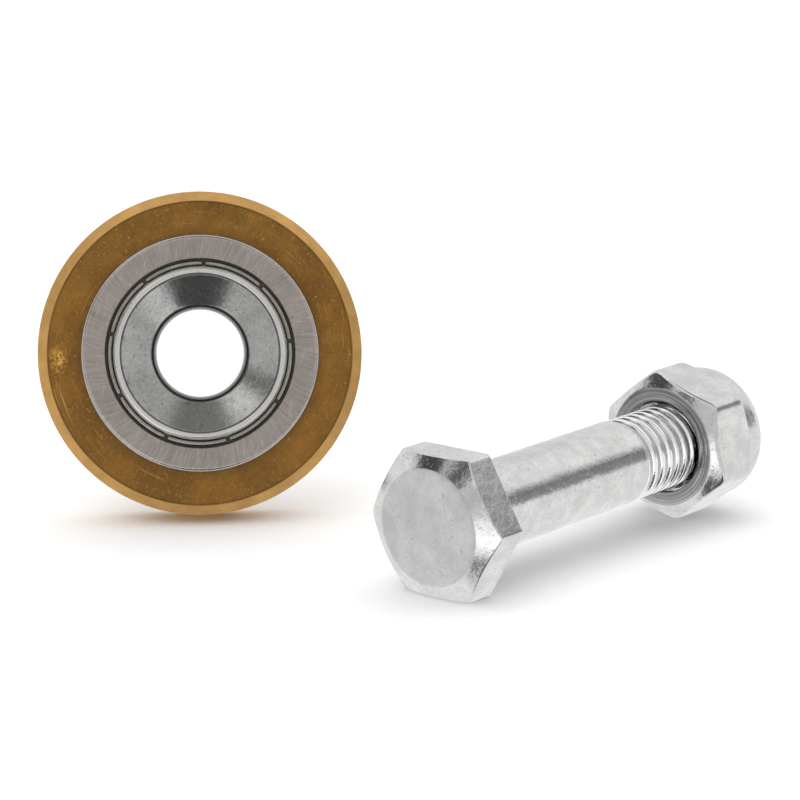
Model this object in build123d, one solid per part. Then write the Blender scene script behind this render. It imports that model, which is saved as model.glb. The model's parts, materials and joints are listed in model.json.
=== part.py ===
from build123d import *
import os
from math import atan, cos, radians, sin, sqrt, tan

os.makedirs("parts", exist_ok=True)

# Sliding door roller: a brass wheel on a shielded ball bearing, with two cone
# bushes in the bearing, laid out beside its hex bolt and locking nut.
# Millimetres. +Z is up, and the origin is the middle of the hub's bore.

# Wheel, as heights along its own axle, from the bearing's middle plane
WHEEL_RADIUS = 19.2
WHEEL_FRONT = 3.5
WHEEL_BACK = -4.6
FRONT_CHAMFER = 1.15
BACK_CHAMFER = 1.3
BACK_SHOULDER_RADIUS = 12.6
WHEEL_LEAN = 11.91           # degrees that the wheel leans back on its rim

# Bearing, 12 x 28 x 8 with eight 3/16 inch balls
RING_RADIUS = 14.0
RING_BORE = 6.0
RING_HALF_WIDTH = 4.0
OUTER_LAND_RADIUS = 11.25
INNER_LAND_RADIUS = 8.3
RING_CORNER = 0.4
PITCH_RADIUS = 10.0
BALL_RADIUS = 2.38
BALL_COUNT = 8
RUNNING_GAP = 0.03           # between the balls and what they roll or sit in

# Shields, pressed into a groove in the outer ring
SHIELD_BORE = 8.55
SHIELD_THICK = 0.3
SHIELD_HEIGHT = 3.05         # inner face of the flat part
BEAD_RADIUS = 0.38
BEAD_CENTRE = 10.62
SEAT_RADIUS = 11.6
NOTCH_COUNT = 9
NOTCH_WIDTH = 0.75
NOTCH_START = 7.0            # degrees, from +X as seen from the front

# Cage, two pressed ribbons held together by rivets
CAGE_INNER = 9.1
CAGE_OUTER = 10.9
CAGE_SHEET = 0.4
RIVET_RADIUS = 0.4
RIVET_HEAD_RADIUS = 0.7
RIVET_HEAD_HEIGHT = 0.35

# Cone bushes, one pressed into each side of the inner ring
BORE_RADIUS = 5.2
BUSH_FACE = 6.2
LIP_RADIUS = 10.05
FUNNEL_RADIUS = 9.3
FUNNEL_THROAT = 5.65
FUNNEL_END = 3.9
LAND_HALF_LENGTH = 3.5
BUSH_JOINT = 0.02            # half the gap where the two bushes meet

# Bolt M10 x 1.5, as heights along its shank from under the head
ACROSS_FLATS = 16.0
HEAD_HEIGHT = 5.1
HEAD_FLAT_RADIUS = 6.53
SHANK_RADIUS = 5.0
SHANK_LENGTH = 28.95
BOLT_LENGTH = 50.0
THREAD_PITCH = 1.5
THREAD_CREST = 4.93
THREAD_ROOT = 4.1
TIP_CHAMFER = 0.9

# Locking nut with a nylon ring
NUT_FACE = 37.88
NUT_HEX_HEIGHT = 7.2
NUT_HEIGHT = 11.2
NUT_FLAT_RADIUS = 7.0
NUT_BORE = 5.04
NUT_SINK_RADIUS = 5.6
COLLAR_RADIUS = 7.9
COLLAR_ROUND = 2.4            # rolled-in end of the collar
NYLON_RADIUS = 6.5
NYLON_HEIGHT = 2.1
NUT_TURN = 20.6              # degrees from the head's corners

BOLT_ORIGIN = (27.81, -35.31)
BOLT_YAW = 44.42             # from +Y towards +X, head to nut

CORNER_RADIUS = ACROSS_FLATS / sqrt(3)
WHEEL_PLACE = Location((0, 0, 0), (90 - WHEEL_LEAN, 0, 0))


def bolt_place():
    """Bolt frame: the head rests on a flat and the nut on its lowest corner."""
    floor = -(WHEEL_RADIUS * cos(radians(WHEEL_LEAN))
              + (-WHEEL_BACK - BACK_CHAMFER) * sin(radians(WHEEL_LEAN)))
    lowest = CORNER_RADIUS * cos(radians(30 - NUT_TURN))
    head_corner = HEAD_HEIGHT - (CORNER_RADIUS - HEAD_FLAT_RADIUS) * tan(radians(30))
    nut_corner = NUT_FACE + (CORNER_RADIUS - NUT_FLAT_RADIUS) * tan(radians(30))
    tilt = atan((lowest - ACROSS_FLATS / 2) / (head_corner + nut_corner))
    yaw = radians(BOLT_YAW)
    height = floor + ACROSS_FLATS / 2 * cos(tilt) + head_corner * sin(tilt)
    along = (sin(yaw) * cos(tilt), cos(yaw) * cos(tilt), sin(tilt))
    return Plane(origin=(*BOLT_ORIGIN, height), x_dir=(-cos(yaw), sin(yaw), 0),
                 z_dir=along).location


def turned(*outline):
    """Solid turned about Z from (radius, height) points, each with an optional corner radius."""
    face = make_face(Polyline(*[point[:2] for point in outline], close=True))
    for point in outline:
        if len(point) == 3:
            corner = face.vertices().sort_by_distance((point[0], point[1], 0))[0]
            face = fillet(corner, point[2])
    return revolve(Rot(90, 0, 0) * face, Axis.Z)


def tube(outer, inner, low, high):
    return turned((inner, low), (outer, low), (outer, high), (inner, high))


def hexagon(low, high, turn=0):
    prism = extrude(RegularPolygon(CORNER_RADIUS, 6, rotation=turn), high - low)
    return Pos(0, 0, low) * prism


def flipped(shape):
    """The same piece on the back of the bearing."""
    return Rot(180, 0, 0) * shape


def ball_angle(index):
    return 360 / BALL_COUNT * (index + 0.5)


def brass_wheel():
    seat = RING_RADIUS
    return turned(
        (seat, WHEEL_FRONT), (seat, -RING_HALF_WIDTH), (BACK_SHOULDER_RADIUS, -RING_HALF_WIDTH),
        (BACK_SHOULDER_RADIUS, WHEEL_BACK), (WHEEL_RADIUS - BACK_CHAMFER, WHEEL_BACK),
        (WHEEL_RADIUS, WHEEL_BACK + BACK_CHAMFER), (WHEEL_RADIUS, WHEEL_FRONT - FRONT_CHAMFER),
        (WHEEL_RADIUS - FRONT_CHAMFER, WHEEL_FRONT))


def race_groove():
    return Torus(PITCH_RADIUS, BALL_RADIUS + RUNNING_GAP)


def outer_ring():
    top = RING_HALF_WIDTH
    seat_low = SHIELD_HEIGHT
    lip = OUTER_LAND_RADIUS
    upper = [(lip, 0), (RING_RADIUS, 0), (RING_RADIUS, top, RING_CORNER), (lip, top, 0.15),
             (lip, seat_low + 0.5), (SEAT_RADIUS, seat_low + 0.35), (SEAT_RADIUS, seat_low),
             (lip, seat_low)]
    half = turned(*upper)
    return half + flipped(half) - race_groove()


def inner_ring():
    top = RING_HALF_WIDTH
    half = turned((RING_BORE, 0), (INNER_LAND_RADIUS, 0), (INNER_LAND_RADIUS, top, 0.3),
                  (RING_BORE, top, 0.3))
    return half + flipped(half) - race_groove()


def shield():
    """Pressed disc whose outer edge is rolled up and crimped into the outer ring."""
    low = SHIELD_HEIGHT
    high = low + SHIELD_THICK
    disc = tube(SEAT_RADIUS - 0.05, SHIELD_BORE, low, high)
    bead = Pos(0, 0, high + 0.08) * Torus(BEAD_CENTRE, BEAD_RADIUS)
    piece = disc + (bead & tube(RING_RADIUS, SHIELD_BORE, low, RING_HALF_WIDTH))
    reach = SEAT_RADIUS - BEAD_CENTRE + BEAD_RADIUS
    notch = Pos(BEAD_CENTRE - BEAD_RADIUS + reach / 2, 0, high + 0.5) * Box(reach, NOTCH_WIDTH, 1)
    for index in range(NOTCH_COUNT):
        piece -= Rot(0, 0, NOTCH_START + 360 / NOTCH_COUNT * index) * notch
    return piece


def cage_half():
    """Ribbon with a domed pocket over each ball, flat between them."""
    ribbon = tube(CAGE_OUTER, CAGE_INNER, 0.01, CAGE_SHEET)
    band = tube(CAGE_OUTER, CAGE_INNER, 0.01, BALL_RADIUS + 2 * CAGE_SHEET)
    pocket = BALL_RADIUS + RUNNING_GAP
    for index in range(BALL_COUNT):
        centre = Rot(0, 0, ball_angle(index)) * Pos(PITCH_RADIUS, 0, 0)
        ribbon += band & (centre * Sphere(pocket + CAGE_SHEET))
    for index in range(BALL_COUNT):
        centre = Rot(0, 0, ball_angle(index)) * Pos(PITCH_RADIUS, 0, 0)
        ribbon -= centre * Sphere(pocket)
        ribbon -= Rot(0, 0, 360 / BALL_COUNT * index) * Pos(PITCH_RADIUS, 0, 0) * Cylinder(RIVET_RADIUS, 4)
    return ribbon


def rivet(index):
    reach = CAGE_SHEET + RIVET_HEAD_HEIGHT
    shape = turned((0, -reach), (RIVET_HEAD_RADIUS, -reach, 0.2), (RIVET_HEAD_RADIUS, -CAGE_SHEET),
                   (RIVET_RADIUS, -CAGE_SHEET), (RIVET_RADIUS, CAGE_SHEET),
                   (RIVET_HEAD_RADIUS, CAGE_SHEET), (RIVET_HEAD_RADIUS, reach, 0.2), (0, reach))
    return Rot(0, 0, 360 / BALL_COUNT * index) * Pos(PITCH_RADIUS, 0, 0) * shape


def ball(index):
    return Rot(0, 0, ball_angle(index)) * Pos(PITCH_RADIUS, 0, 0) * Sphere(BALL_RADIUS)


def cone_bush():
    """Sleeve in the inner ring under a wide flange, with a countersink down to the bore."""
    return turned(
        (BORE_RADIUS, BUSH_JOINT), (RING_BORE, BUSH_JOINT), (RING_BORE, RING_HALF_WIDTH),
        (LIP_RADIUS, RING_HALF_WIDTH, 0.3), (LIP_RADIUS, BUSH_FACE, 0.42),
        (FUNNEL_RADIUS, BUSH_FACE, 0.12), (FUNNEL_RADIUS - 0.12, BUSH_FACE - 0.16),
        (FUNNEL_THROAT, FUNNEL_END, 0.3), (BORE_RADIUS, LAND_HALF_LENGTH))


def thread(low, high):
    """Right-hand 60 degree thread, cut off square at both ends."""
    depth = THREAD_CREST - THREAD_ROOT
    flat = THREAD_PITCH / 8
    foot = flat + 2 * depth * tan(radians(30))
    sunk = THREAD_ROOT - 0.15
    outline = make_face(Polyline(
        (sunk, -foot / 2 - 0.04), (THREAD_ROOT, -foot / 2), (THREAD_CREST, -flat / 2),
        (THREAD_CREST, flat / 2), (THREAD_ROOT, foot / 2), (sunk, foot / 2 + 0.04), close=True))
    start = low - THREAD_PITCH
    path = Helix(THREAD_PITCH, high - low + 2 * THREAD_PITCH, THREAD_ROOT)
    ridge = sweep(Rot(90, 0, 0) * outline, path=path, is_frenet=True)
    core = Cylinder(THREAD_ROOT, high - low, align=(Align.CENTER, Align.CENTER, Align.MIN))
    trim = turned((0, low), (THREAD_CREST + 1, low), (THREAD_CREST + 1, high - TIP_CHAMFER - 1),
                  (THREAD_CREST - TIP_CHAMFER, high), (0, high))
    return (Pos(0, 0, start) * ridge + Pos(0, 0, low) * core) & trim


def hex_bolt():
    corner_drop = (CORNER_RADIUS - HEAD_FLAT_RADIUS) * tan(radians(30))
    crown = turned((0, -HEAD_HEIGHT), (HEAD_FLAT_RADIUS, -HEAD_HEIGHT),
                   (CORNER_RADIUS, -HEAD_HEIGHT + corner_drop), (CORNER_RADIUS, 0), (0, 0))
    head = hexagon(-HEAD_HEIGHT, 0) & crown
    shank = turned((0, -1), (SHANK_RADIUS, -1), (SHANK_RADIUS, SHANK_LENGTH - 0.5),
                   (SHANK_RADIUS - 0.5, SHANK_LENGTH), (0, SHANK_LENGTH))
    return head + shank + thread(SHANK_LENGTH - 0.8, BOLT_LENGTH)


def nut_body():
    """Hex nut with a turned collar that is rolled in over the nylon ring."""
    low = NUT_FACE
    shoulder = low + NUT_HEX_HEIGHT
    top = low + NUT_HEIGHT
    rise = (CORNER_RADIUS - NUT_FLAT_RADIUS) * tan(radians(30))
    back_rise = (CORNER_RADIUS - COLLAR_RADIUS) * tan(radians(30))
    crown = turned((0, low), (NUT_FLAT_RADIUS, low), (CORNER_RADIUS, low + rise),
                   (CORNER_RADIUS, shoulder - back_rise), (COLLAR_RADIUS, shoulder), (0, shoulder))
    collar = turned((0, shoulder), (COLLAR_RADIUS, shoulder), (COLLAR_RADIUS, top, COLLAR_ROUND), (0, top))
    body = (hexagon(low, shoulder, NUT_TURN) & crown) + collar
    nest = NYLON_RADIUS + 0.05
    nest_low = top - 0.7 - NYLON_HEIGHT - 0.1
    cavity = turned((0, low), (NUT_SINK_RADIUS, low), (NUT_BORE, low + NUT_SINK_RADIUS - NUT_BORE),
                    (NUT_BORE, nest_low), (nest, nest_low), (nest, top - 0.7), (nest - 0.6, top - 0.6),
                    (nest - 0.6, top), (0, top))
    return body - cavity


def nylon_ring():
    low = NUT_FACE + NUT_HEIGHT - 0.7 - NYLON_HEIGHT - 0.05
    return turned((NUT_BORE, low), (NYLON_RADIUS, low), (NYLON_RADIUS, low + NYLON_HEIGHT),
                  (NUT_BORE, low + NYLON_HEIGHT, 0.25))


wheel_pieces = {
    "brass_wheel": brass_wheel(),
    "bearing_outer_ring": outer_ring(),
    "bearing_inner_ring": inner_ring(),
    "front_shield": shield(),
    "rear_shield": flipped(shield()),
    "front_cone_bush": cone_bush(),
    "rear_cone_bush": flipped(cone_bush()),
    "cage_front_half": cage_half(),
    "cage_rear_half": flipped(cage_half()),
}
for index in range(BALL_COUNT):
    wheel_pieces[f"ball_{index + 1}"] = ball(index)
    wheel_pieces[f"cage_rivet_{index + 1}"] = rivet(index)

bolt_pieces = {"hex_bolt": hex_bolt(), "nut_body": nut_body(), "nut_nylon_ring": nylon_ring()}

for pieces, place in ((wheel_pieces, WHEEL_PLACE), (bolt_pieces, bolt_place())):
    for name, shape in pieces.items():
        export_step(place * shape, f"parts/{name}.step")
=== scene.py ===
import json
from math import ceil, cos, pi, radians, sin, sqrt, tan

import bmesh
import bpy
from bpy.props import FloatProperty, FloatVectorProperty, IntProperty, PointerProperty
from mathutils import Matrix, Vector


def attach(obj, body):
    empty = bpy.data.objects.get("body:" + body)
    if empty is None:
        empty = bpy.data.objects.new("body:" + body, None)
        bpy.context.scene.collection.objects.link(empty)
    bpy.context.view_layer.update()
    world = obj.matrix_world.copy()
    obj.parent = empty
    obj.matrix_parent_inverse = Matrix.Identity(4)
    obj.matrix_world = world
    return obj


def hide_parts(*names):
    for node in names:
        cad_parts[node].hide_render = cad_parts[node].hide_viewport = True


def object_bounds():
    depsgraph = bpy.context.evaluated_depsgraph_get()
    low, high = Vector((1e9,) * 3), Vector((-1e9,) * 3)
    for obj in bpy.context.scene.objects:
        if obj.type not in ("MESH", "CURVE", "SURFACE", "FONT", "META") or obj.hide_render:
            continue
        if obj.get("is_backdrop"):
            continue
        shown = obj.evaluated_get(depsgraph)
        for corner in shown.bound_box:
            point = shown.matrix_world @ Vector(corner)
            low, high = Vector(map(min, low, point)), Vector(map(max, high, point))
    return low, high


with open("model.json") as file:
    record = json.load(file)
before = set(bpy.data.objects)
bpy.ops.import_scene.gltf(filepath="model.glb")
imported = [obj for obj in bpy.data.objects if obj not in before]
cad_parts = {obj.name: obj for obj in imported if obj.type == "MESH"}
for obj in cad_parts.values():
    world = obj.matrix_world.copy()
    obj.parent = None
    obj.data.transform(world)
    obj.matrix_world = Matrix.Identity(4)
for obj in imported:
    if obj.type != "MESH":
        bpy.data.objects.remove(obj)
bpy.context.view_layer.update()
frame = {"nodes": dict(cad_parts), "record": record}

bl_info = {
    "name": "Sliding Door Roller",
    "version": (1, 0, 0),
    "blender": (4, 5, 0),
    "location": "View3D > Sidebar > Roller",
    "description": "Builds the brass wheel with its bearing and hub, the axle bolt and its nut",
    "category": "Add Mesh",
}

MM = 0.001
MOUNTS = {mount["name"]: mount for mount in frame["record"]["mounts"]}

# Wheel frame: Z along the axle towards the front, X across the face.
AXLE = Vector(MOUNTS["hub_bore"]["axis"]).normalized()
WHEEL_FRAME = Matrix((Vector((1, 0, 0)), AXLE.cross(Vector((1, 0, 0))), AXLE)).transposed().to_4x4()
SIDES = {"front": WHEEL_FRAME, "rear": WHEEL_FRAME @ Matrix.Rotation(pi, 4, "X")}

# Bolt frame: Z along the shank from head to nut, Y as near upright as it can be.
BOLT_AXIS = Vector(MOUNTS["bolt_head_seat"]["axis"]).normalized()
BOLT_SIDE = Vector((-BOLT_AXIS.y, BOLT_AXIS.x, 0)).normalized()
SEAT_OFFSET = 6.5 * MM        # from the bolt's axis to the head seat's stated point
BOLT_FRAME = Matrix((BOLT_SIDE, BOLT_AXIS.cross(BOLT_SIDE), BOLT_AXIS)).transposed().to_4x4()
BOLT_FRAME.translation = Vector(MOUNTS["bolt_head_seat"]["pos_m"]) - SEAT_OFFSET * BOLT_SIDE

ROUND_STEPS = 192             # sides of a turned piece
MERGE = 2e-6                  # points nearer than this are one, in metres
ROWS_PER_PITCH = 14           # rows of a thread's grid in one pitch
THREAD_COLUMNS = 97           # columns of a thread's grid, the last one back at the first
THREAD_OVERLAP = 0.4 * MM     # by which the bolt's thread starts inside its shank
THREAD_LEAD = 2.2             # pitches by which a thread's rows start below its low end
CREST_HALF, ROOT_FROM = 0.16, 0.44      # where a crest ends and a root begins, in pitches
CORNER_RISE = tan(radians(30))          # rise of the chamfers on the head's and nut's corners
HAIR = 0.05 * MM              # smallest rounding, and the gap between fitted pieces

# Stage: the camera looks square on at the wheel's face, with the bolt to its right.
CAMERA_AWAY = 0.3593          # metres from the hub
CAMERA_TURN = (90 - 12.83, 0, -3.893)   # degrees
FLOOR_REACH = 4.0
# Name, the way to the lamp, its spread in degrees and its strength.
LAMPS = (("key_light", (-0.45, -0.45, 0.77), 80, 1.3),
         ("back_light", (0.30, 0.60, 0.74), 100, 1.3))
TENT_LIGHT = 0.95
# Soft-edged flags: the way to each, its inner and outer radius in degrees, and the share of
# light it takes. One that takes less than nothing is a softbox.
FLAGS = (((0, -0.64, -0.77), 20, 27, 0.90), ((0, -0.30, 0.95), 14, 28, 0.72),
         ((-0.80, -0.50, 0.10), 12, 42, 0.32), ((0.87, -0.48, 0.10), 8, 28, 0.30),
         ((0.615, -0.355, 0.70), 10, 32, 0.40), ((-0.615, -0.61, -0.50), 6, 20, 0.38),
         ((0.964, 0.125, 0.232), 6, 13, 0.72), ((0.90, 0.165, 0.396), 4, 9, 0.45),
         ((-0.875, -0.018, 0.484), 11, 18, 0.92), ((-0.711, -0.502, 0.49), 6, 12, 0.85),
         ((0, -0.978, 0.206), 18, 40, 0.25), ((-0.38, -0.87, -0.30), 8, 24, -0.6),
         ((0.09, 0.96, 0.26), 10, 40, 0.12))


def length(name, description, millimetres):
    return FloatProperty(name=name, description=description, default=millimetres * MM,
                         unit="LENGTH", precision=5)


def linear(code):
    """Linear colour from an sRGB hex code such as #A0702A."""
    channels = [int(code[i:i + 2], 16) / 255 for i in (1, 3, 5)]
    return [c / 12.92 if c <= 0.04045 else ((c + 0.055) / 1.055) ** 2.4 for c in channels]


def colour(name, description, code):
    return FloatVectorProperty(name=name, description=description, default=linear(code),
                               subtype="COLOR", size=3, min=0, max=1)


class WheelSizes(bpy.types.PropertyGroup):
    radius: length("Radius", "Half the wheel's outside diameter", 19.2)
    front: length("Front face", "Height of the front face above the bearing's middle", 3.5)
    back: length("Back face", "Depth of the back face below the bearing's middle", 4.6)
    front_chamfer: length("Front chamfer", "Size of the front edge's 45 degree chamfer", 1.15)
    back_chamfer: length("Back chamfer", "Size of the back edge's 45 degree chamfer", 1.3)
    shoulder: length("Back shoulder", "Radius of the opening behind the bearing", 12.6)
    edge: length("Edge break", "Rounding of the turned edges", 0.07)


class BearingSizes(bpy.types.PropertyGroup):
    radius: length("Radius", "Half the bearing's outside diameter", 14.0)
    half_width: length("Half width", "Half the bearing's width", 4.0)
    corner: length("Ring corner", "Rounding of the outer ring's outside corners", 0.45)
    land: length("Inside radius", "Radius of the outer ring's bore beside the shield", 11.2)
    shield_height: length("Shield height", "Height of the shield above the bearing's middle", 3.05)
    shield_bore: length("Shield bore", "Radius of the hole in the shield", 8.55)
    bead: length("Bead", "Half the width of the crimped edge", 0.34)
    bead_ring: length("Bead ring", "Radius of the circle that the crimped edge runs on", 10.66)
    tabs: IntProperty(name="Tabs", description="Stretches of crimped edge between notches",
                      default=9)
    tab_gap: FloatProperty(name="Tab gap", description="Angle left open at each notch",
                           default=radians(2.8), subtype="ANGLE")
    tab_start: FloatProperty(name="First notch", description="Angle of the first notch",
                             default=radians(7.0), subtype="ANGLE")


class BushSizes(bpy.types.PropertyGroup):
    bore: length("Bore", "Radius of the hole for the axle bolt", 5.2)
    sleeve: length("Sleeve", "Radius of the sleeve inside the inner ring", 6.0)
    face: length("Face", "Height of the rim above the bearing's middle", 6.2)
    rim: length("Rim", "Outside radius of the flange", 10.05)
    funnel: length("Funnel mouth", "Radius where the countersink begins", 9.25)
    throat: length("Funnel throat", "Radius where the countersink ends", 5.65)
    throat_height: length("Throat height", "Height of the throat above the bearing's middle", 3.9)


class BoltSizes(bpy.types.PropertyGroup):
    flats: length("Across flats", "Width of the head and the nut", 16.0)
    head: length("Head height", "Thickness of the head", 5.1)
    head_flat: length("Head flat", "Radius of the round flat on the head", 6.53)
    shank: length("Shank", "Radius of the plain shank", 5.0)
    shank_length: length("Shank length", "Plain shank from under the head", 28.95)
    total: length("Length", "Length from under the head to the tip", 50.0)
    pitch: length("Pitch", "Distance between thread crests", 1.5)
    crest: length("Thread crest", "Radius over the thread", 4.93)
    root: length("Thread root", "Radius at the bottom of the thread", 4.1)


class NutSizes(bpy.types.PropertyGroup):
    face: length("Face", "Distance of the nut's face from under the bolt's head", 37.88)
    hexagon: length("Hexagon height", "Height of the nut's hexagon", 7.2)
    height: length("Height", "Overall height of the nut", 11.2)
    face_flat: length("Face flat", "Radius of the round flat on the nut's face", 7.0)
    collar: length("Collar", "Radius of the collar behind the hexagon", 7.9)
    collar_round: length("Collar rounding", "Rounding of the collar's rolled-in end", 2.3)
    sink: length("Countersink", "Radius of the bore's countersink", 5.6)
    nylon: length("Nylon ring", "Outside radius of the nylon ring", 6.5)
    nylon_height: length("Nylon height", "Height of the nylon ring", 2.1)
    play: length("Thread play", "Gap between the bolt's thread and the nut's", 0.09)
    turn: FloatProperty(name="Turn", description="Turn of the nut from the head's corners",
                        default=radians(20.6), subtype="ANGLE")


class FinishColours(bpy.types.PropertyGroup):
    brass: colour("Brass", "Aged face of the wheel", "#825B22")
    brass_fresh: colour("Fresh brass", "Chamfer, tread and worn spots", "#CEA05B")
    ring: colour("Ground steel", "Bearing rings", "#ADA49E")
    shield: colour("Pressed steel", "Shields and cage", "#AEACA2")
    zinc: colour("Zinc", "Bright zinc of the hub bushes", "#BDBCBA")
    bolt_zinc: colour("Bolt zinc", "Bright zinc of the bolt and nut", "#EBEBEA")
    nylon: colour("Nylon", "Locking ring", "#E4E6E2")
    floor: colour("Floor", "Pale floor", "#F4F4F4")


# Meshes

def softened(points, closed, steps=5):
    """(radius, height) points of a section whose corners with a third value are rounded by it.
    A rounding takes less than half of an edge, and a point just past each of its ends keeps
    the edge's shading flat."""
    most, past = 0.45, 0.15
    count = len(points)
    made = []
    for index, point in enumerate(points):
        corner = Vector(point[:2])
        if len(point) == 2 or (not closed and index in (0, count - 1)):
            made.append(corner)
            continue
        before = Vector(points[index - 1][:2]) - corner
        after = Vector(points[(index + 1) % count][:2]) - corner
        size = min(point[2], most * before.length, most * after.length)
        start = corner + before.normalized() * size
        end = corner + after.normalized() * size
        made.append(start + before.normalized() * size * past)
        for step in range(steps + 1):
            t = step / steps
            made.append((1 - t) ** 2 * start + 2 * t * (1 - t) * corner + t * t * end)
        made.append(end + after.normalized() * size * past)
    return made


def circle_outline(steps=ROUND_STEPS):
    return [Vector((cos(2 * pi * i / steps), sin(2 * pi * i / steps))) for i in range(steps)]


def hexagon_outline(flats, rounding, turn=0.0, per_side=14, per_corner=4):
    """Points round a hexagon with slightly rounded corners. A flat's first and last points
    stand just clear of the roundings, which keeps its shading flat."""
    clear = 1.3
    corners = [Vector((cos(turn + pi / 3 * i), sin(turn + pi / 3 * i))) * flats / sqrt(3)
               for i in range(6)]
    points = []
    for index, corner in enumerate(corners):
        following = corners[(index + 1) % 6]
        before = (corners[index - 1] - corner).normalized() * rounding
        after = (following - corner).normalized() * rounding
        points.append(corner + clear * before)
        for step in range(per_corner + 1):
            t = step / per_corner
            points.append(corner + (1 - t) ** 2 * before + t * t * after)
        start, end = corner + clear * after, following - clear * after
        points += [start.lerp(end, step / per_side) for step in range(per_side)]
    return points


def carried(outline, section, closed):
    """Mesh of a section carried round an outline. section(reach) gives its (radius, height)
    points where the outline is reach from the axis. Points on the axis meet in one vertex."""
    made = bmesh.new()
    poles = {}
    columns = []
    for point in outline:
        reach = point.length
        column = []
        for index, (radius, height) in enumerate(section(reach)):
            if radius < 1e-9:
                if index not in poles:
                    poles[index] = made.verts.new((0, 0, height))
                column.append(poles[index])
            else:
                column.append(made.verts.new((*(point / reach * radius), height)))
        columns.append(column)
    rows = len(columns[0])
    for column, following in zip(columns, columns[1:] + columns[:1]):
        for row in range(rows if closed else rows - 1):
            above = (row + 1) % rows
            ring = [column[row], following[row], following[above], column[above]]
            made.faces.new(list(dict.fromkeys(ring)))
    bmesh.ops.recalc_face_normals(made, faces=made.faces)
    return made


def object_of(data, name):
    """The mesh, lamp or camera as an object at the origin."""
    made = bpy.data.objects.new(name, data)
    bpy.context.scene.collection.objects.link(made)
    return made


def write_smooth(work, mesh, place):
    """Write a bmesh into the mesh, moved from its local frame to its place, smooth shaded."""
    bmesh.ops.transform(work, matrix=place, verts=work.verts)
    for face in work.faces:
        face.smooth = True
    work.to_mesh(mesh)
    work.free()


def settle(piece, body, slot, *nodes):
    """Make a piece ride on a body and stand for the CAD nodes it replaces."""
    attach(piece, body)
    if nodes:
        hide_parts(*nodes)
    return piece


def formed(parts, name, body, *nodes):
    """One zinc-plated piece from bmeshes in the bolt's frame."""
    mesh = bpy.data.meshes.new(name)
    joined = bmesh.new()
    for part in parts:
        part.to_mesh(mesh)
        joined.from_mesh(mesh)
        part.free()
    write_smooth(joined, mesh, BOLT_FRAME)
    mesh.materials.append(material_for("zinc_fastener"))
    return settle(object_of(mesh, name), body, "zinc_fastener", *nodes)


# Nodes

def node(tree, kind, inputs=(), **settings):
    """Add a node, set its properties, then set its inputs or link them to sockets. A node
    given as an input is linked by its first output."""
    made = tree.nodes.new(kind)
    for key, value in settings.items():
        setattr(made, key, value)
    for key, value in inputs.items() if isinstance(inputs, dict) else enumerate(inputs):
        if isinstance(value, bpy.types.Node):
            value = value.outputs[0]
        if isinstance(value, bpy.types.NodeSocket):
            tree.links.new(value, made.inputs[key])
        else:
            made.inputs[key].default_value = value
    return made


def new_geometry_tree(name, **inputs):
    """Geometry node tree with the labels given for each type of input, and their sockets."""
    tree = bpy.data.node_groups.new(name, "GeometryNodeTree")
    for kind, labels in inputs.items():
        for label in labels:
            tree.interface.new_socket(label, in_out="INPUT", socket_type="NodeSocket" + kind)
    tree.interface.new_socket("Geometry", in_out="OUTPUT", socket_type="NodeSocketGeometry")
    given = node(tree, "NodeGroupInput").outputs
    return tree, given[:sum(len(labels) for labels in inputs.values())]


def new_lattice(tree, columns, rows):
    """A grid one unit wide and high, how far along it a point is, and the position itself."""
    lattice = node(tree, "GeometryNodeMeshGrid", {"Vertices X": columns, "Vertices Y": rows})
    position = node(tree, "GeometryNodeInputPosition")
    corner = node(tree, "ShaderNodeVectorMath", (position, (0.5, 0.5, 0.0)), operation="ADD")
    share = node(tree, "ShaderNodeSeparateXYZ", (corner,)).outputs
    return lattice, share[0], share[1], position


def end_geometry_tree(tree, shape, material):
    whole = node(tree, "GeometryNodeRealizeInstances", (shape,))
    smooth = node(tree, "GeometryNodeSetShadeSmooth", {"Geometry": whole})
    dressed = node(tree, "GeometryNodeSetMaterial", {"Geometry": smooth, "Material": material})
    node(tree, "NodeGroupOutput", (dressed,))


def end_wrapped(tree, lattice, radius, around, height, material):
    """End a tree with its grid wrapped round the Z axis and merged where it meets itself."""
    angle = node(tree, "ShaderNodeMath", (around, 2 * pi), operation="MULTIPLY")
    waves = (node(tree, "ShaderNodeMath", (angle,), operation=kind) for kind in ("COSINE", "SINE"))
    across = [node(tree, "ShaderNodeMath", (radius, wave), operation="MULTIPLY") for wave in waves]
    place = node(tree, "ShaderNodeCombineXYZ", (*across, height))
    moved = node(tree, "GeometryNodeSetPosition", {"Geometry": lattice, "Position": place})
    merged = node(tree, "GeometryNodeMergeByDistance", {"Geometry": moved, "Distance": MERGE})
    end_geometry_tree(tree, merged, material)


def grown(tree, values, name, place, points=()):
    """Plain mesh object at the origin from a geometry node tree with its inputs set, run on a
    mesh of the points. A shape left open at two ends, as a nut's thread is, has them joined."""
    given = bpy.data.meshes.new(name + "_host")
    given.from_pydata(points, [], [])
    host = object_of(given, name + "_host")
    modifier = host.modifiers.new(name, "NODES")
    modifier.node_group = tree
    for item in tree.interface.items_tree:
        if item.in_out == "INPUT" and item.name in values:
            modifier[item.identifier] = values[item.name]
    seen = host.evaluated_get(bpy.context.evaluated_depsgraph_get())
    mesh = bpy.data.meshes.new_from_object(seen)
    host.modifiers.remove(modifier)
    bpy.data.objects.remove(host)
    work = bmesh.new()
    work.from_mesh(mesh)
    bmesh.ops.dissolve_degenerate(work, dist=1e-8, edges=work.edges)
    holes = [edge for edge in work.edges if edge.is_boundary]
    if holes:
        bmesh.ops.bridge_loops(work, edges=holes)
    bmesh.ops.recalc_face_normals(work, faces=work.faces)
    write_smooth(work, mesh, place)
    mesh.name = name
    return object_of(mesh, name)


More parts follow.
